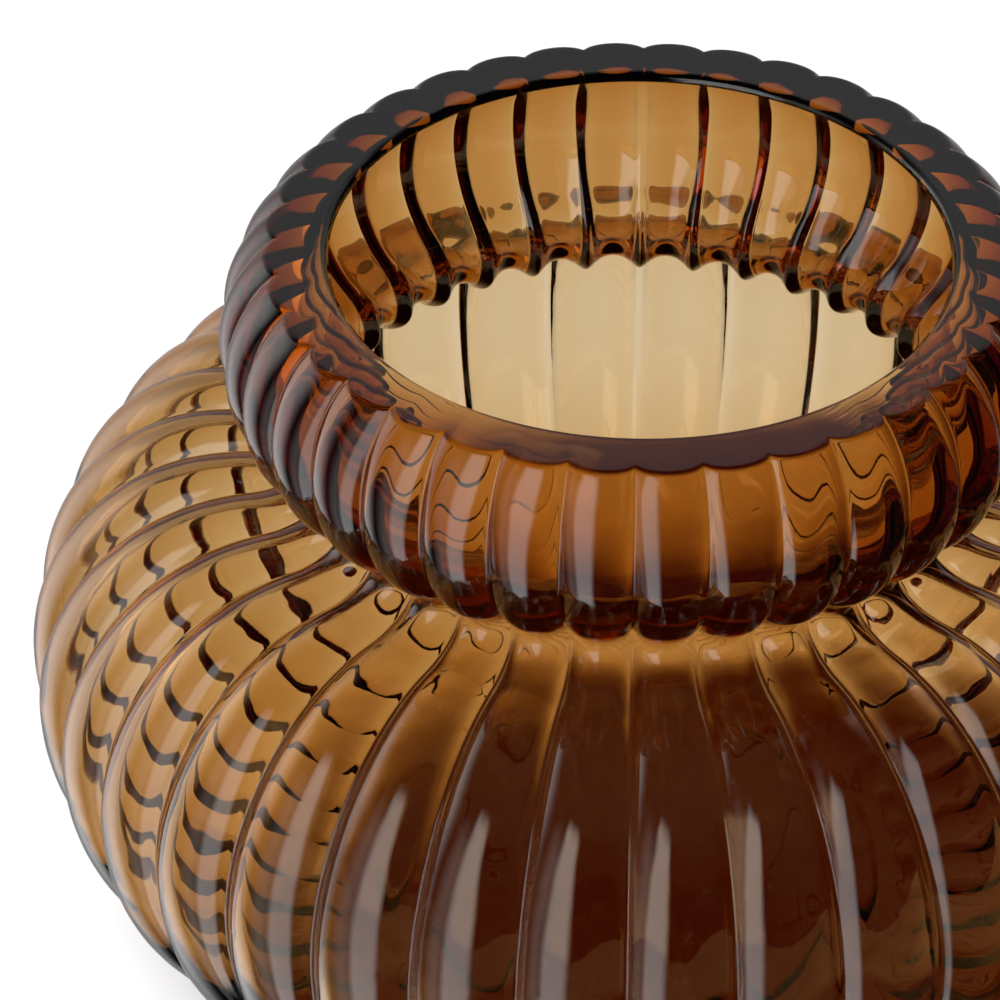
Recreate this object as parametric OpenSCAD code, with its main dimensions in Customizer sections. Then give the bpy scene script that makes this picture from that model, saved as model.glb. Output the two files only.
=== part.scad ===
// Hand blown art glass vase: a ribbed bulb under a ribbed collar with a ground rim.
// Millimetres, +Z up. The origin is the centre of the foot, on the surface that the vase stands on.
// One groove between two ribs faces each of +X, +Y, -X and -Y.

/* [Overall] */
// Height from the table to the ground rim
height = 146; // [122:1:190]
// Number of ribs round the vase, a multiple of four
ribs = 36; // [24:4:44]

/* [Body] */
// Widest diameter of the body, across the ribs
body_d = 220; // [180:1:265]
// Height of the widest part of the body
belly_z = 60; // [45:1:75]
// Thickness of the body's wall
body_wall = 2.5; // [2:0.5:6]
// Depth of the grooves outside, at the widest part
body_groove = 3.7; // [1:0.1:4]
// Height of the ridges inside, at the widest part
body_ridge = 3.2; // [2.2:0.1:3.2]

/* [Neck] */
// Distance that the neck's outside lies outside the mouth's edge, at the neck's narrowest part
neck_out = 8; // [6:0.5:10]
// Height from the top of the shoulder to the neck's narrowest part
neck_rise = 3.5; // [3:0.5:10]
// Distance that the top of the shoulder lies outside the neck's narrowest part
neck_spread = 8; // [6:0.5:16]
// Radius of the hollow curve between the neck and the collar, seen from the side
neck_round = 4; // [3:0.5:9]
// Thickness of the neck's wall
neck_wall = 5; // [4:0.5:7]
// Depth of the grooves outside the neck
neck_groove = 3.4; // [0.5:0.1:4]
// Height of the ridges inside the neck
neck_ridge = 2.4; // [1.7:0.1:3]

/* [Collar] */
// Width of the ground rim, from the mouth's edge to the outside of a rib
rim_w = 11; // [9:0.5:14]
// Distance that the collar's widest part lies outside the rim
collar_bulge = 8.5; // [6:0.5:12]
// Depth of the collar's widest part below the rim
collar_drop = 18; // [15:0.5:22]
// Thickness of the collar's wall at its widest part
collar_wall = 6.5; // [5:0.5:9]
// Depth of the grooves outside the collar
collar_groove = 2.5; // [0.5:0.1:3]
// Depth of the notches that the grooves leave in the rim
rim_notch = 1.7; // [0.5:0.1:2.5]
// Height of the ridges inside the collar
collar_ridge = 1.2; // [0:0.1:1.6]

/* [Mouth] */
// Diameter of the mouth
mouth_d = 108; // [86:1:132]
// Width of the bevel round the mouth
mouth_bevel = 1.5; // [0.5:0.1:2]

/* [Foot] */
// Diameter of the foot ring
foot_d = 100; // [80:1:120]
// Width of the flat face that the vase stands on
foot_land = 7; // [4:0.5:12]
// Height that the foot ring lifts the body off the table
foot_lift = 0.8; // [0.4:0.1:2]
// Thickness of the glass at the edge of the foot
floor_edge = 7; // [5:0.5:10]
// Height of the floor inside the vase, at its centre
floor_z = 10; // [8:0.5:14]
// Depth of the hollow under the foot, at its centre
foot_hollow = 3; // [0:0.5:5]

/* [Hidden] */
glass = [0.50, 0.31, 0.12];

// Facets in each rib, and all the way round
rib_steps = 4;
around = ribs * rib_steps;
// Rows of facets in a collar, a neck, a shoulder and a belly curve, outside and inside
rows_out = [4, 4, 7, 8];
rows_in = [3, 3, 6, 7];
foot_steps = 12;

body_r = body_d / 2;
mouth_r = mouth_d / 2;
rim_r = mouth_r + rim_w;
collar_r = rim_r + collar_bulge;
neck_r = mouth_r + neck_out;
shoulder_r = neck_r + neck_spread;
foot_r = foot_d / 2;
foot_chamfer = foot_lift / 2;

// Collar outside: the circle that passes through the rim's edge and is widest at collar_z
collar_z = height - collar_drop;
collar_round = round_through(collar_bulge, collar_drop);
collar_c = [collar_r - collar_round, collar_z];
// Collar inside: the circle that passes through the mouth's lower edge and is widest at collar_z too
hollow_drop = collar_drop - mouth_bevel;
hollow_r = collar_r - collar_wall;
hollow_round = round_through(hollow_r - mouth_r, hollow_drop);
hollow_c = [hollow_r - hollow_round, collar_z];

// Neck: a circle that touches the collar's circle and the neck's narrowest radius. The throat inside it
// is narrowest at the same height.
throat_r = neck_r - neck_wall;
neck_c = [neck_r + neck_round, touch_z(collar_c, collar_round, neck_r, neck_round)];
throat_round = touch_round(hollow_c, hollow_round, throat_r, neck_c.y);
throat_c = [throat_r + throat_round, neck_c.y];
neck_facing = facing(collar_c, neck_c);
throat_facing = facing(hollow_c, throat_c);
shoulder_z = neck_c.y - neck_rise;

// Radius of a circle whose widest point lies `width` outside and `drop` below a point on it
function round_through(width, drop) = (width * width + drop * drop) / (2 * width);
// Height at which a circle of radius `r` touches the line at `line_r` and, from outside, circle `c`
function touch_z(c, c_round, line_r, r) = c.y - sqrt(pow(c_round + r, 2) - pow(line_r + r - c.x, 2));
// Radius of the circle at height `z` that touches the line at `line_r` and, from outside, circle `c`
function touch_round(c, c_round, line_r, z) =
    let (a = line_r - c.x, b = z - c.y) (a * a + b * b - c_round * c_round) / (2 * (c_round - a));
// Direction from one centre to another, in degrees above the horizontal
function facing(from, to) = atan2(to.y - from.y, to.x - from.x);

// A curve of the outline is a list of rows [radius, height, groove depth, normal]. It is an arc of an
// ellipse about `c`, on which the surface turns from facing `a0` to facing `a1`. Negative semi-axes
// `s` make a hollow curve. The groove depth goes from g0 to g1.
function curve(c, s, a0, a1, rows, g0, g1, power = 1) = [
    for (i = [0 : rows])
        let (t = i / rows, a = a0 + (a1 - a0) * t, n = [cos(a) * abs(s.y), sin(a) * abs(s.x)])
            [c.x + s.x * cos(a), c.y + s.y * sin(a), g0 + (g1 - g0) * pow(t, power), n / norm(n)]
];
// Two curves that share a row
function join(a, b) = concat(a, [for (i = [1 : len(b) - 1]) b[i]]);
function reverse(a) = [for (i = [len(a) - 1 : -1 : 0]) a[i]];

// How deep each facet line lies, from 0 on a rib to 1 in a groove: a nearly half elliptic arch outside,
// and a flatter curve inside
arch = 0.93;
across = [for (i = [0 : rib_steps - 1]) abs(1 - 2 * i / rib_steps)];
lobe = [for (u = across) (1 - sqrt(1 - pow(arch * u, 2))) / (1 - sqrt(1 - arch * arch))];
wave = [for (u = across) pow(u, 1.7)];

// Points of one row, all the way round
function ring(row, shape) = [
    for (i = [0 : around - 1])
        let (a = 360 * i / around, d = row[2] * shape[i % rib_steps], r = row[0] - d * row[3].x)
            [r * cos(a), r * sin(a), row[1] - d * row[3].y]
];

// Collar: from the rim, round the widest part, to where the neck's hollow starts
rim_facing = asin(collar_drop / collar_round);
rim_row = [[rim_r, height, rim_notch, [1, 0]]];
collar_outside = join(
    join(rim_row, curve(collar_c, collar_round * [1, 1], rim_facing, 0, rows_out[0], rim_notch, collar_groove)),
    curve(collar_c, collar_round * [1, 1], 0, neck_facing, rows_out[0], collar_groove, collar_groove));
mouth_facing = asin(hollow_drop / hollow_round);
bevel_row = [[mouth_r + mouth_bevel, height, 0, [1, 0]]];
collar_inside = concat(bevel_row, join(
    curve(hollow_c, hollow_round * [1, 1], mouth_facing, 0, rows_in[0], 0, collar_ridge),
    curve(hollow_c, hollow_round * [1, 1], 0, throat_facing, rows_in[0], collar_ridge, collar_ridge)));

// Neck: the hollow curve down to the narrowest part, and on to the top of the shoulder
neck_outside = join(
    curve(neck_c, -neck_round * [1, 1], neck_facing, 0, rows_out[1], collar_groove, neck_groove),
    curve([shoulder_r, neck_c.y], -[neck_spread, neck_rise], 0, 90, rows_out[1], neck_groove, neck_groove));
neck_inside = join(
    curve(throat_c, -throat_round * [1, 1], throat_facing, 0, rows_in[1], collar_ridge, neck_ridge),
    curve([shoulder_r, throat_c.y], -[shoulder_r - throat_r, throat_c.y - shoulder_z + body_wall],
          0, 90, rows_in[1], neck_ridge, neck_ridge));

// Body: the shoulder, then the belly down to the foot ring, where the grooves run out
belly_c = [shoulder_r, belly_z];
bowl_c = [foot_r / cos(180 / around), belly_z];
body_outside = join(
    curve(belly_c, [body_r - shoulder_r, shoulder_z - belly_z], 90, 0, rows_out[2], neck_groove, body_groove),
    curve(bowl_c, [body_r - bowl_c.x, belly_z - foot_lift], 0, -90, rows_out[3], body_groove, 0, 2));
body_inside = join(
    curve(belly_c, [body_r - body_wall - shoulder_r, shoulder_z - body_wall - belly_z],
          90, 0, rows_in[2], neck_ridge, body_ridge),
    curve(bowl_c, [body_r - body_wall - bowl_c.x, belly_z - floor_edge], 0, -90, rows_in[3], body_ridge, 0, 2));

// Closed ribbed glass between an outside and an inside list of rows. Both end strips are split the
// same way, so that two neighbours share the same triangles where they meet.
module glass_ring(outside, inside) {
    rings = concat([for (row = outside) ring(row, lobe)], [for (row = reverse(inside)) ring(row, wave)]);
    count = len(rings);
    faces = [
        for (j = [0 : count - 1], i = [0 : around - 1], half = [0, 1])
            let (
                here = j * around,
                next = (j + 1) % count * around,
                k = (i + 1) % around,
                quad = [here + i, here + k, next + k, next + i],
                first = j == count - 1 ? [0, 1, 3] : [0, 1, 2],
                second = j == count - 1 ? [1, 2, 3] : [0, 2, 3]
            )
                [for (v = half == 0 ? first : second) quad[v]]
    ];
    color(glass) polyhedron(points = [for (r = rings) each r], faces = faces);
}

// A smooth rise from the edge of a disc to its middle
function rise(r, edge_r) = (1 + cos(180 * r / edge_r)) / 2;

// Foot: a thick disc with a ground ring to stand on and a shallow hollow inside the ring
module foot() {
    land_r = foot_r - foot_land;
    top = [for (i = [0 : foot_steps]) let (r = foot_r * (1 - i / foot_steps))
        [r, floor_edge + (floor_z - floor_edge) * rise(r, foot_r)]];
    hollow = [for (i = [0 : foot_steps]) let (r = land_r * i / foot_steps) [r, foot_hollow * rise(r, land_r)]];
    color(glass) rotate_extrude($fn = around)
        polygon(concat(top, hollow, [[foot_r - foot_chamfer, 0], [foot_r, foot_chamfer]]));
}

module body() {
    glass_ring(body_outside, body_inside);
}

module neck() {
    glass_ring(neck_outside, neck_inside);
}

module collar() {
    glass_ring(collar_outside, collar_inside);
}

foot();
body();
neck();
collar();
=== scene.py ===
"""A hand blown ribbed vase of amber glass, as four closed pieces of glass that meet at hidden seams.

Metres, +Z up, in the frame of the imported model. A groove between two ribs faces the camera.
"""

import math

import bpy
import numpy as np
from mathutils import Matrix, Vector


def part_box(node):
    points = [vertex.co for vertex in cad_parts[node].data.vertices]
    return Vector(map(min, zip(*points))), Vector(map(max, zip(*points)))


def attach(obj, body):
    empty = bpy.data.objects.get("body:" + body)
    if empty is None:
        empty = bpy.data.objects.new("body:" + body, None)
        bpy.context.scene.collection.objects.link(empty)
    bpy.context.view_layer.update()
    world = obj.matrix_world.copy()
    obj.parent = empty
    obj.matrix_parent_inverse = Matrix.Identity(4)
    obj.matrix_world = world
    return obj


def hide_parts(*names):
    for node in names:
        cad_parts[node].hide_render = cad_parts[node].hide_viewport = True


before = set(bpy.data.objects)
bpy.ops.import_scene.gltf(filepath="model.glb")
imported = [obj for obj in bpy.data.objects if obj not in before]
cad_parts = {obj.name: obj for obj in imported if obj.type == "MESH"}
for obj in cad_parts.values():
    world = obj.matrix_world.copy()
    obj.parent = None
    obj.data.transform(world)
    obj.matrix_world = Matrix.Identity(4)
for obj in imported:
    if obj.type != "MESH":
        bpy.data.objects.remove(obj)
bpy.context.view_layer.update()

# ---- Sizes -------------------------------------------------------------------------------------
MM = 0.001
RIBS = 36
CREST = math.cos(math.pi / RIBS)  # a box side is met by a groove, so the crests reach further

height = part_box("collar")[1].z
body_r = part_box("body")[1].x / CREST
collar_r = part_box("collar")[1].x / CREST
shoulder_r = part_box("neck")[1].x
foot_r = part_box("foot")[1].x
foot_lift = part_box("body")[0].z

belly_z = 60 * MM
body_wall = 2.5 * MM
body_groove = 3.7 * MM
body_ridge = 3.2 * MM
neck_out = 8 * MM
neck_rise = 3.5 * MM
neck_round = 4 * MM
neck_wall = 5 * MM
neck_groove = 3.4 * MM
neck_ridge = 2.4 * MM
collar_bulge = 8.5 * MM
collar_drop = 18 * MM
rim_w = 11 * MM
collar_wall = 6.5 * MM
collar_groove = 2.5 * MM
rim_groove = 1.1 * MM
collar_ridge = 1.2 * MM
mouth_bevel = 1.5 * MM
edge_round = 0.8 * MM
foot_land = 7 * MM
floor_edge = 7 * MM
floor_z = 10 * MM
foot_hollow = 3 * MM
seam_gap = 0.02 * MM

# Angles round the vase: closer together near the grooves, which are narrow
STEPS = 16
CROWDING = 0.62
AROUND = RIBS * STEPS
ARCH = 0.96  # how nearly a rib is a half ellipse, with steep flanks at its grooves
GROOVE_ROUND = 0.02  # half width of a groove's round bottom outside, as a share of a rib
RIDGE_ROUND = 0.12  # the same for the ridges inside, which are rounder

# Strips of faces along each part of the outline, outside and inside
RIM_FLAT = 6
RIM_EDGE = 6
COLLAR_UPPER = 25
COLLAR_LOWER = 26
COLLAR_HOLLOW = 18
NECK_HOLLOW, NECK_THROAT = 16, 12
NECK_FLARE = 14
SHOULDER, SHOULDER_INSIDE = 44, 30
BELLY, BELLY_INSIDE = 50, 34
FOOT_STEPS = 18
FOOT_CENTRE = 0.02  # radius of the foot's middle facet, as a share of the foot's radius
GROOVE_FADE = 1.4  # above 1 the grooves under the belly keep their depth for longer

# Unevenness of the blown surfaces
OUTER_RIPPLE = 0.2
INNER_RIPPLE = 0.32
RIPPLE_SCALE = 50
RIPPLE_DETAIL = 2
RIPPLE_HEIGHT = 1.8 * MM

GLASS_INDEX = 1.5
AMBER = (0.81, 0.575, 0.13, 1)
AMBER_DENSITY = 480


# ---- Outline -----------------------------------------------------------------------------------
def ease(t):
    return t * t * (3 - 2 * t)


def round_through(width, drop):
    """Radius of a circle whose widest point lies `width` outside and `drop` below a point on it."""
    return (width * width + drop * drop) / (2 * width)


def touch_z(c, c_round, line_r, r):
    """Height at which a circle of radius r touches a vertical line and, from outside, circle c."""
    return c[1] - math.sqrt((c_round + r) ** 2 - (line_r + r - c[0]) ** 2)


def touch_round(c, c_round, line_r, z):
    """Radius of the circle at height z that touches a vertical line and, from outside, circle c."""
    a, b = line_r - c[0], z - c[1]
    return (a * a + b * b - c_round ** 2) / (2 * (c_round - a))


def facing(start, end):
    return math.degrees(math.atan2(end[1] - start[1], end[0] - start[0]))


def arc(c, semi, face0, face1, rows, groove0, groove1, power=1.0):
    """Rows [radius, height, groove depth, normal] on an ellipse, as its face turns from face0 to face1."""
    t = np.linspace(0, 1, rows + 1)
    face = np.radians(face0 + (face1 - face0) * t)
    normal = np.stack([np.cos(face) * abs(semi[1]), np.sin(face) * abs(semi[0])], 1)
    normal /= np.linalg.norm(normal, axis=1)[:, None]
    depth = groove0 + (groove1 - groove0) * ease(t) ** power
    place = np.stack([c[0] + semi[0] * np.cos(face), c[1] + semi[1] * np.sin(face)], 1)
    return np.column_stack([place, depth, normal])


def circle_arc(c, radius, face0, face1, rows, groove0, groove1):
    """The same on a circle, whose radius is negative on a hollow curve."""
    return arc(c, (radius, radius), face0, face1, rows, groove0, groove1)


def join(*parts):
    """Arcs that follow each other and share a row."""
    return np.concatenate([parts[0]] + [part[1:] for part in parts[1:]])


def rib_angles():
    t = np.arange(STEPS) / STEPS
    t = t - CROWDING * np.sin(2 * np.pi * t) / (2 * np.pi)
    return (np.arange(RIBS)[:, None] + t).ravel() * 2 * np.pi / RIBS


ANGLES = rib_angles()
ACROSS = np.abs((ANGLES * RIBS / (2 * np.pi) + 0.5) % 1 - 0.5)  # 0 in a groove, 0.5 on a crest


def rib_shape(rounding):
    """Depth below a crest, from 0 on it to 1 in the groove, whose bottom is as round as `rounding` says."""
    bend = ARCH * (1 - 2 * np.hypot(ACROSS, rounding))
    return (1 - np.sqrt(1 - bend ** 2)) / (1 - math.sqrt(1 - (ARCH * (1 - 2 * rounding)) ** 2))


LOBE = rib_shape(GROOVE_ROUND)
WAVE = rib_shape(RIDGE_ROUND)


def turned(r, z):
    """Points [row, angle, xyz] at the radii r and heights z, given for each row and angle."""
    return np.stack([r * np.cos(ANGLES), r * np.sin(ANGLES), z], 2)


def surface(rows, shape):
    """An outline turned round the axis, with its grooves."""
    depth = rows[:, 2:3] * shape[None, :]
    return turned(rows[:, 0:1] - depth * rows[:, 3:4], rows[:, 1:2] - depth * rows[:, 4:5])


rim_r = collar_r - collar_bulge
mouth_r = rim_r - rim_w
neck_r = mouth_r + neck_out
throat_r = neck_r - neck_wall

# Collar: a circle outside and one inside, both widest at the same height
collar_z = height - collar_drop
collar_round = round_through(collar_bulge, collar_drop)
collar_c = (collar_r - collar_round, collar_z)
hollow_drop = collar_drop - mouth_bevel
hollow_r = collar_r - collar_wall
hollow_round = round_through(hollow_r - mouth_r, hollow_drop)
hollow_c = (hollow_r - hollow_round, collar_z)
mouth_facing = math.degrees(math.asin(hollow_drop / hollow_round))

# Neck: a circle outside and one inside that touch the collar's, both narrowest at the same height
neck_c = (neck_r + neck_round, touch_z(collar_c, collar_round, neck_r, neck_round))
throat_round = touch_round(hollow_c, hollow_round, throat_r, neck_c[1])
throat_c = (throat_r + throat_round, neck_c[1])
neck_facing = facing(collar_c, neck_c)
throat_facing = facing(hollow_c, throat_c)
shoulder_z = neck_c[1] - neck_rise


def rim_surface():
    """Ground flat, its rounded outer edge and the collar's outside down to its widest row."""
    inner = mouth_r + mouth_bevel
    rim_face = math.asin(collar_drop / collar_round)

    def outside(face):
        groove = collar_groove + (rim_groove - collar_groove) * ease(np.minimum(face / rim_face, 1))
        reach = collar_round - groove * LOBE
        return collar_c[0] + reach * np.cos(face), collar_c[1] + reach * np.sin(face)

    edge_face = np.arcsin(collar_drop / (collar_round - rim_groove * LOBE))
    edge_r, edge_z = outside(edge_face)
    flat_r = edge_r - edge_round
    low_face = edge_face - edge_round / collar_round
    low_r, low_z = outside(low_face)
    rows = [(inner + (flat_r - inner) * t, np.full(AROUND, height)) for t in np.linspace(0, 1, RIM_FLAT + 1)]
    for t in np.linspace(0, 1, RIM_EDGE + 1)[1:]:
        first, middle, last = (1 - t) ** 2, 2 * t * (1 - t), t * t
        rows.append((first * flat_r + middle * edge_r + last * low_r,
                     first * height + middle * edge_z + last * low_z))
    for t in np.linspace(0, 1, COLLAR_UPPER + 1)[1:]:
        rows.append(outside(low_face * (1 - t)))
    return turned(np.array([row[0] for row in rows]), np.array([row[1] for row in rows]))


# ---- Glass pieces ------------------------------------------------------------------------------
def normals_of(points):
    """Unit normals of a grid that is closed all the way round, from central differences."""
    along = np.gradient(points, axis=0)
    across = np.roll(points, -1, 1) - np.roll(points, 1, 1)
    n = np.cross(along, across)
    return n / np.maximum(np.linalg.norm(n, axis=2), 1e-12)[:, :, None]


def continued_normals(*grids):
    """Normals of surfaces that continue into each other, so that no seam shows."""
    n = normals_of(join(*grids))
    result = []
    start = 0
    for grid in grids:
        result.append(n[start:start + len(grid)])
        start += len(grid) - 1
    return result


def strips(rows, closed):
    """Quads between neighbouring rows of points, and back to the first row where it is closed."""
    index = np.arange(rows * AROUND).reshape(rows, AROUND)
    below = np.roll(index, -1, 0)
    quads = np.stack([index, below, np.roll(below, -1, 1), np.roll(index, -1, 1)], 2)
    return (quads if closed else quads[:-1]).reshape(-1, 4)


def make_piece(name, node, points, normals, quads, caps, seam, ripple):
    """One closed mesh of glass. `seam` and `ripple` give each quad's seam flag and unevenness.

    Seam faces lie against the next piece and don't bend light. The caps are flat and even.
    """
    faces = list(quads.tolist()) + [list(cap) for cap in caps]
    mesh = bpy.data.meshes.new(name)
    mesh.from_pydata(points.reshape(-1, 3).tolist(), [], faces)
    mesh.shade_smooth()
    for label, values in (("seam", seam), ("ripple", ripple)):
        values = np.concatenate([values, np.zeros(len(caps))]).astype(np.float32)
        mesh.attributes.new(label, "FLOAT", "FACE").data.foreach_set("value", values)
    flat = np.zeros(len(faces) * 3, np.float32)
    mesh.polygons.foreach_get("normal", flat)
    flat = flat.reshape(-1, 3)
    smooth = normals.reshape(-1, 3)[quads]
    corners = np.concatenate([
        np.where(seam[:, None, None] > 0, flat[:len(quads), None], smooth).reshape(-1, 3),
        np.repeat(flat[len(quads):], AROUND, 0)])
    mesh.normals_split_custom_set(corners.tolist())
    mesh.materials.append(glass)
    piece = bpy.data.objects.new(name, mesh)
    bpy.context.scene.collection.objects.link(piece)
    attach(piece, "root")
    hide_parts(node)
    return piece


def glass_ring(name, node, outside, inside, out_normals, in_normals, seam_above, flat_strips=0):
    """Closed ring of glass between two grids. Its lower end is a seam, and so may its upper end be."""
    points = np.concatenate([outside, inside[::-1]])
    normals = np.concatenate([out_normals, -in_normals[::-1]])
    rows = len(points)
    seam = np.zeros(rows)
    seam[len(outside) - 1] = 1
    seam[-1] = seam_above
    ripple = np.full(rows, INNER_RIPPLE)
    ripple[:len(outside)] = OUTER_RIPPLE
    ripple[:flat_strips] = 0
    make_piece(name, node, points, normals, strips(rows, True), [],
               np.repeat(seam, AROUND), np.repeat(ripple, AROUND))


def drawn_back(grid, row, near):
    """Draws an end row of a grid back along the surface by half the seam gap."""
    grid = grid.copy()
    step = grid[near] - grid[row]
    grid[row] += step / np.linalg.norm(step, axis=1)[:, None] * seam_gap / 2
    return grid


def top_drawn_back(grid):
    return drawn_back(grid, 0, 1)


def bottom_drawn_back(grid):
    return drawn_back(grid, -1, -2)


def glass_foot():
    """Thick disc with a ground ring to stand on and a shallow hollow inside the ring."""
    edge_r = foot_r - seam_gap
    land_r = foot_r - foot_land
    chamfer = foot_lift / 2
    steps = np.linspace(FOOT_CENTRE, 1, FOOT_STEPS)
    rise = (1 + np.cos(np.pi * steps)) / 2
    r = np.concatenate([edge_r * steps, [edge_r, edge_r, edge_r - chamfer], land_r * steps[::-1]])
    z = np.concatenate([floor_edge + (floor_z - floor_edge) * rise, [foot_lift, chamfer, 0],
                        foot_hollow * rise[::-1]])
    points = turned(r[:, None], np.repeat(z[:, None], AROUND, 1))
    quads = strips(len(r), False)
    seam = np.zeros(len(r) - 1)
    seam[FOOT_STEPS - 1] = 1
    caps = [np.arange(AROUND), np.arange(AROUND)[::-1] + (len(r) - 1) * AROUND]
    make_piece("glass_foot", "foot", points, normals_of(points), quads, caps,
               np.repeat(seam, AROUND), np.full(len(quads), INNER_RIPPLE))


# ---- Material ----------------------------------------------------------------------------------
def amber_glass():
    """Clear glass with even absorption inside, and a slight unevenness of its blown surfaces."""
    material = bpy.data.materials.new("amber_glass")
    material.use_nodes = True
    nodes, links = material.node_tree.nodes, material.node_tree.links
    shader = nodes["Principled BSDF"]
    shader.inputs["Base Color"].default_value = (1, 1, 1, 1)
    shader.inputs["Transmission Weight"].default_value = 1
    shader.inputs["Roughness"].default_value = 0.0
    shader.inputs["IOR"].default_value = GLASS_INDEX
    seam = nodes.new("ShaderNodeAttribute")
    seam.attribute_name = "seam"
    index = nodes.new("ShaderNodeMapRange")
    index.inputs["To Min"].default_value = GLASS_INDEX
    index.inputs["To Max"].default_value = 1.0
    links.new(seam.outputs["Fac"], index.inputs["Value"])
    links.new(index.outputs["Result"], shader.inputs["IOR"])
    noise = nodes.new("ShaderNodeTexNoise")
    noise.inputs["Scale"].default_value = RIPPLE_SCALE
    noise.inputs["Detail"].default_value = RIPPLE_DETAIL
    place = nodes.new("ShaderNodeTexCoord")
    links.new(place.outputs["Object"], noise.inputs["Vector"])
    uneven = nodes.new("ShaderNodeAttribute")
    uneven.attribute_name = "ripple"
    ripple = nodes.new("ShaderNodeBump")
    links.new(uneven.outputs["Fac"], ripple.inputs["Strength"])
    ripple.inputs["Distance"].default_value = RIPPLE_HEIGHT
    links.new(noise.outputs["Fac"], ripple.inputs["Height"])
    links.new(ripple.outputs["Normal"], shader.inputs["Normal"])
    tint = nodes.new("ShaderNodeVolumeAbsorption")
    tint.inputs["Color"].default_value = AMBER
    tint.inputs["Density"].default_value = AMBER_DENSITY
    links.new(tint.outputs["Volume"], nodes["Material Output"].inputs["Volume"])
    return material


glass = amber_glass()


# ---- Vase --------------------------------------------------------------------------------------
shoulder_c = (shoulder_r, belly_z)
bowl_c = (foot_r, belly_z)

collar_out = join(rim_surface(), surface(circle_arc(
    collar_c, collar_round, 0, neck_facing, COLLAR_LOWER, collar_groove, collar_groove), LOBE))
neck_outside = surface(join(
    circle_arc(neck_c, -neck_round, neck_facing, 0, NECK_HOLLOW, collar_groove, neck_groove),
    arc((shoulder_r, neck_c[1]), (neck_r - shoulder_r, -neck_rise),
        0, 90, NECK_FLARE, neck_groove, neck_groove)), LOBE)
body_out = surface(join(
    arc(shoulder_c, (body_r - shoulder_r, shoulder_z - belly_z), 90, 0, SHOULDER, neck_groove, body_groove),
    arc(bowl_c, (body_r - foot_r, belly_z - foot_lift), 0, -90, BELLY, body_groove, 0, GROOVE_FADE)), LOBE)

collar_in = surface(join(
    circle_arc(hollow_c, hollow_round, mouth_facing, 0, COLLAR_HOLLOW, 0, collar_ridge),
    circle_arc(hollow_c, hollow_round, 0, throat_facing, COLLAR_HOLLOW, collar_ridge, collar_ridge)), WAVE)
neck_in = surface(join(
    circle_arc(throat_c, -throat_round, throat_facing, 0, NECK_THROAT, collar_ridge, neck_ridge),
    arc((shoulder_r, throat_c[1]), (throat_r - shoulder_r, shoulder_z - body_wall - throat_c[1]),
        0, 90, NECK_FLARE, neck_ridge, neck_ridge)), WAVE)
body_in = surface(join(
    arc(shoulder_c, (body_r - body_wall - shoulder_r, shoulder_z - body_wall - belly_z),
        90, 0, SHOULDER_INSIDE, neck_ridge, body_ridge),
    arc(bowl_c, (body_r - body_wall - foot_r, belly_z - floor_edge),
        0, -90, BELLY_INSIDE, body_ridge, 0, GROOVE_FADE)), WAVE)

# The mouth's bevel takes part in the normals inside, so that it shades as a rounded edge
bevel = turned(np.full((1, 1), mouth_r + mouth_bevel), np.full((1, AROUND), height))
collar_n, neck_n, body_n = continued_normals(collar_out, neck_outside, body_out)
collar_m, neck_m, body_m = continued_normals(np.concatenate([bevel, collar_in]), neck_in, body_in)
collar_m = collar_m[1:]

collar_out, collar_in = bottom_drawn_back(collar_out), bottom_drawn_back(collar_in)
neck_outside, neck_in = top_drawn_back(neck_outside), top_drawn_back(neck_in)
neck_outside, neck_in = bottom_drawn_back(neck_outside), bottom_drawn_back(neck_in)
body_out, body_in = top_drawn_back(body_out), top_drawn_back(body_in)

glass_ring("glass_collar", "collar", collar_out, collar_in, collar_n, collar_m, False, RIM_FLAT)
glass_ring("glass_neck", "neck", neck_outside, neck_in, neck_n, neck_m, True)
glass_ring("glass_body", "body", body_out, body_in, body_n, body_m, True)
glass_foot()


# ---- Stage -------------------------------------------------------------------------------------
FLOOR_SIZE = 12.0
FLOOR_DEPTH = 0.1 * MM
FLOOR_GREY = 0.85
FLOOR_IN_GLASS_DEPTH = 0.2 * MM

# The vase's amber shadow, painted as an oval under and before it on the floor that the glass sees. The
# distances and the centre are measured after all widths are stretched by SHADOW_STRETCH, so the oval is
# narrower than it is deep.
SHADOW_COLOUR = (0.13, 0.035, 0.008, 1)
SHADOW_STRETCH = 1.4
SHADOW_CENTRE = (0.04, -0.08, 0)
SHADOW_INNER = 0.135
SHADOW_OUTER = 0.20

# The floor in the glass is painted a little dimmer on the left, as painted shade where the light falls off
DIM_LEFT, BRIGHT_RIGHT = -0.25, -0.08
DIM_STRENGTH, BRIGHT_STRENGTH = 0.64, 0.88


def smooth_range(tree, value, start, end, low=0.0, high=1.0):
    """Goes smoothly from low to high as the value goes from start to end."""
    node = tree.nodes.new("ShaderNodeMapRange")
    node.interpolation_type = "SMOOTHSTEP"
    tree.links.new(value, node.inputs["Value"])
    node.inputs["From Min"].default_value = start
    node.inputs["From Max"].default_value = end
    node.inputs["To Min"].default_value = low
    node.inputs["To Max"].default_value = high
    return node.outputs["Result"]


def floor_plane(name, z, material):
    half = FLOOR_SIZE / 2
    corners = [(-half, -half, z), (half, -half, z), (half, half, z), (-half, half, z)]
    mesh = bpy.data.meshes.new(name)
    mesh.from_pydata(corners, [], [(0, 1, 2, 3)])
    mesh.materials.append(material)
    floor = bpy.data.objects.new(name, mesh)
    bpy.context.scene.collection.objects.link(floor)
    floor.visible_glossy = False
    floor.visible_shadow = False
    return floor


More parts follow.
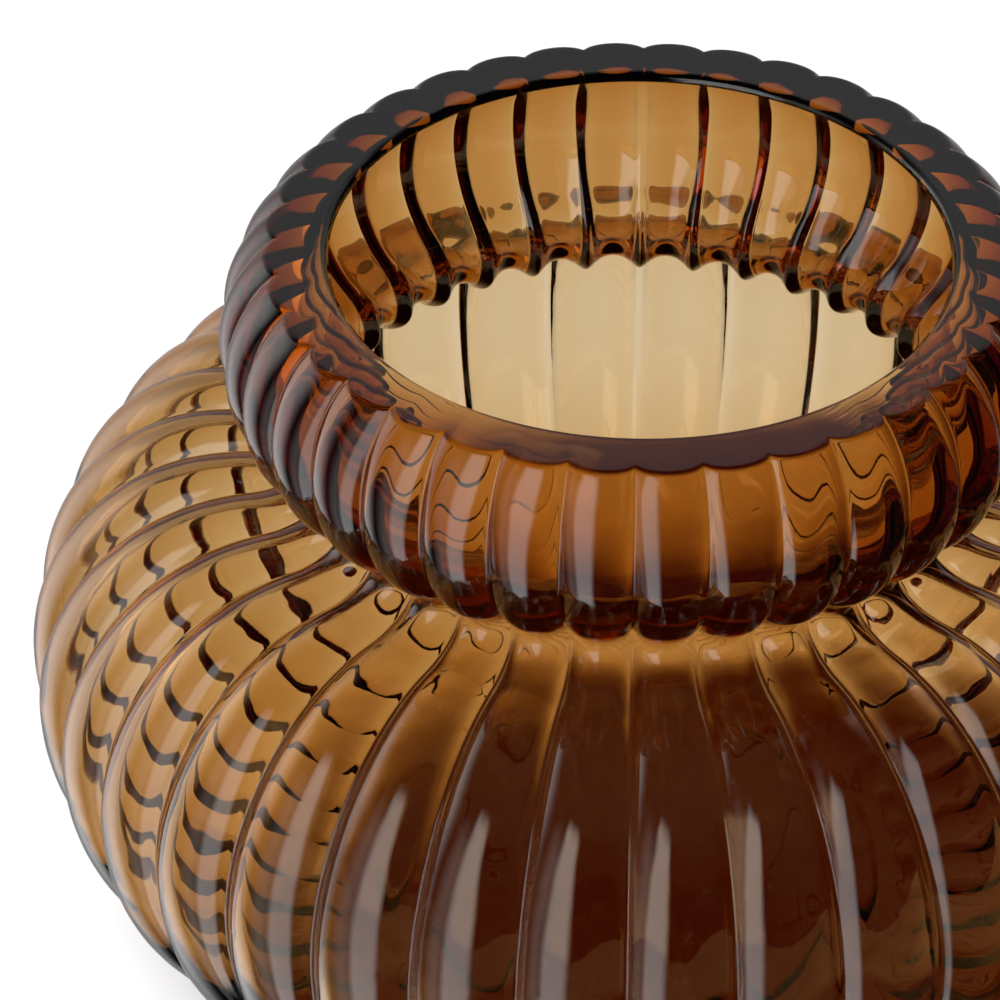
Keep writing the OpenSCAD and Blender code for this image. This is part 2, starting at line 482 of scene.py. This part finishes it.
def add_floor():
    """Pale matt floor that the camera sees round the vase."""
    material = bpy.data.materials.new("floor")
    material.use_nodes = True
    shader = material.node_tree.nodes["Principled BSDF"]
    shader.inputs["Base Color"].default_value = (FLOOR_GREY, FLOOR_GREY, FLOOR_GREY, 1)
    shader.inputs["Roughness"].default_value = 0.9
    shader.inputs["Specular IOR Level"].default_value = 0
    floor = floor_plane("floor", -FLOOR_DEPTH, material)
    floor.visible_transmission = False
    floor.visible_diffuse = False


def add_floor_in_glass():
    """The same floor as the glass sees it, glowing with painted light, with a painted soft shadow of the
    vase under and before it.
    """
    material = bpy.data.materials.new("floor_in_glass")
    material.use_nodes = True
    tree = material.node_tree
    nodes, links = tree.nodes, tree.links
    nodes.remove(nodes["Principled BSDF"])
    place = nodes.new("ShaderNodeNewGeometry").outputs["Position"]
    stretched = nodes.new("ShaderNodeVectorMath")
    stretched.operation = "MULTIPLY"
    links.new(place, stretched.inputs[0])
    stretched.inputs[1].default_value = (SHADOW_STRETCH, 1, 1)
    away = nodes.new("ShaderNodeVectorMath")
    away.operation = "DISTANCE"
    links.new(stretched.outputs["Vector"], away.inputs[0])
    away.inputs[1].default_value = SHADOW_CENTRE
    # Painted shadow: the floor's glow turns dark amber inside the oval and white outside it
    colour = nodes.new("ShaderNodeMix")
    colour.data_type = "RGBA"
    shadow_edge = smooth_range(tree, away.outputs["Value"], SHADOW_INNER, SHADOW_OUTER)
    links.new(shadow_edge, colour.inputs["Factor"])
    colour.inputs["A"].default_value = SHADOW_COLOUR
    colour.inputs["B"].default_value = (1, 1, 1, 1)
    # Painted shade: the floor's glow is dimmer on the left
    split = nodes.new("ShaderNodeSeparateXYZ")
    links.new(place, split.inputs[0])
    strength = smooth_range(tree, split.outputs["X"], DIM_LEFT, BRIGHT_RIGHT, DIM_STRENGTH, BRIGHT_STRENGTH)
    # The floor glows instead of being lit, so all its light and shade is painted
    light = nodes.new("ShaderNodeEmission")
    links.new(colour.outputs["Result"], light.inputs["Color"])
    links.new(strength, light.inputs["Strength"])
    links.new(light.outputs["Emission"], nodes["Material Output"].inputs["Surface"])
    floor = floor_plane("floor_in_glass", -FLOOR_IN_GLASS_DEPTH, material)
    floor.visible_camera = False


add_floor()
add_floor_in_glass()


# ---- Light -------------------------------------------------------------------------------------
# Patches of the studio's light: the bearings and the heights they lie between, how soft their edges
# are, all in degrees, and their strength. Bearing 0 is in front of the vase, and 90 is on its right.
# The one behind the vase is given for its distance in bearing from the front, left or right.
BEHIND = ((135, 200), (-100, 45), 12, 0.55)
SOFT_BOXES = (
    ((-48, -14), (-70, 58), 6, 3.6),
    ((-72, -50), (-75, 42), 12, 1.0),
    ((-135, -95), (-60, 30), 14, 2.4),
)
AMBIENT = 0.02
BACKDROP = 1.25  # strength at which the camera sees the studio

SUN_STRENGTH = 3.5
SUN_DIRECTION = (-0.45, -0.45, 1.0)
SUN_SOFTNESS = math.radians(50)


def add_world():
    """Studio light all round the vase, as soft patches of a procedural sky."""
    world = bpy.data.worlds.new("studio")
    bpy.context.scene.world = world
    world.use_nodes = True
    tree = world.node_tree
    nodes, links = tree.nodes, tree.links
    nodes.clear()

    def math_node(operation, a, b=None):
        node = nodes.new("ShaderNodeMath")
        node.operation = operation
        for socket, value in zip(node.inputs, (a, b)):
            if value is None:
                continue
            if isinstance(value, (int, float)):
                socket.default_value = value
            else:
                links.new(value, socket)
        return node.outputs[0]

    split = nodes.new("ShaderNodeSeparateXYZ")
    links.new(nodes.new("ShaderNodeTexCoord").outputs["Generated"], split.inputs[0])
    x, y, z = split.outputs
    bearing = math_node("DEGREES", math_node("ARCTAN2", x, math_node("MULTIPLY", y, -1)))
    lift = math_node("DEGREES", math_node("ARCSINE", z))

    def band(angle, limits, soft):
        """1 between two angles and 0 outside them, with soft edges."""
        low, high = limits
        rise = smooth_range(tree, angle, low - soft, low + soft)
        fall = smooth_range(tree, angle, high + soft, high - soft)
        return math_node("MULTIPLY", rise, fall)

    def patch(angle, bearings, lifts, soft, strength):
        shape = math_node("MULTIPLY", band(angle, bearings, soft), band(lift, lifts, soft))
        return math_node("MULTIPLY", shape, strength)

    total = math_node("ADD", patch(math_node("ABSOLUTE", bearing), *BEHIND), AMBIENT)
    for soft_box in SOFT_BOXES:
        total = math_node("ADD", total, patch(bearing, *soft_box))
    pick = nodes.new("ShaderNodeMix")
    links.new(nodes.new("ShaderNodeLightPath").outputs["Is Camera Ray"], pick.inputs["Factor"])
    links.new(total, pick.inputs["A"])
    pick.inputs["B"].default_value = BACKDROP
    background = nodes.new("ShaderNodeBackground")
    links.new(pick.outputs["Result"], background.inputs["Strength"])
    output = nodes.new("ShaderNodeOutputWorld")
    links.new(background.outputs[0], output.inputs["Surface"])


def add_floor_light():
    """Soft light from the front left that reaches only the floor, so that it stays out of the glass."""
    data = bpy.data.lights.new("floor_light", "SUN")
    data.energy = SUN_STRENGTH
    data.angle = SUN_SOFTNESS
    lamp = bpy.data.objects.new("floor_light", data)
    bpy.context.scene.collection.objects.link(lamp)
    lamp.rotation_euler = Vector(SUN_DIRECTION).to_track_quat("Z", "Y").to_euler()
    lamp.visible_glossy = False
    lamp.visible_transmission = False


add_world()
add_floor_light()


# ---- Camera ------------------------------------------------------------------------------------
ELEVATION = math.radians(34.88)
ROLL = math.radians(-1.04)
DISTANCE = 0.8325  # from the middle of the mouth
LENS = 172.8
MOUTH_SIDE, MOUTH_UP = 0.029158, 0.053183  # slopes from the view's axis to the middle of the mouth


def add_camera():
    """Looks down at the mouth, which lies right of and above the middle of the picture."""
    look = Matrix(((1, 0, 0),
                   (0, math.sin(ELEVATION), math.cos(ELEVATION)),
                   (0, math.cos(ELEVATION), -math.sin(ELEVATION))))
    tilt = Matrix.Rotation(ROLL, 3, "Z")
    turn = Vector((0, 0, 1)).rotation_difference(Vector((MOUTH_SIDE, MOUTH_UP, 1)))
    view = turn.to_matrix() @ tilt @ look
    axes = Matrix((view[0], view[1], -view[2])).transposed()
    place = Vector((0, -math.cos(ELEVATION), math.sin(ELEVATION))) * DISTANCE + Vector((0, 0, height))
    data = bpy.data.cameras.new("camera")
    data.lens = LENS
    data.clip_start = 0.01
    camera = bpy.data.objects.new("camera", data)
    bpy.context.scene.collection.objects.link(camera)
    camera.matrix_world = Matrix.Translation(place) @ axes.to_4x4()
    bpy.context.scene.camera = camera


add_camera()

bpy.context.scene.view_settings.view_transform = "Standard"
cycles = bpy.context.scene.cycles
cycles.max_bounces = 32
cycles.transmission_bounces = 32
cycles.glossy_bounces = 16
cycles.diffuse_bounces = 4
cycles.use_denoising = True
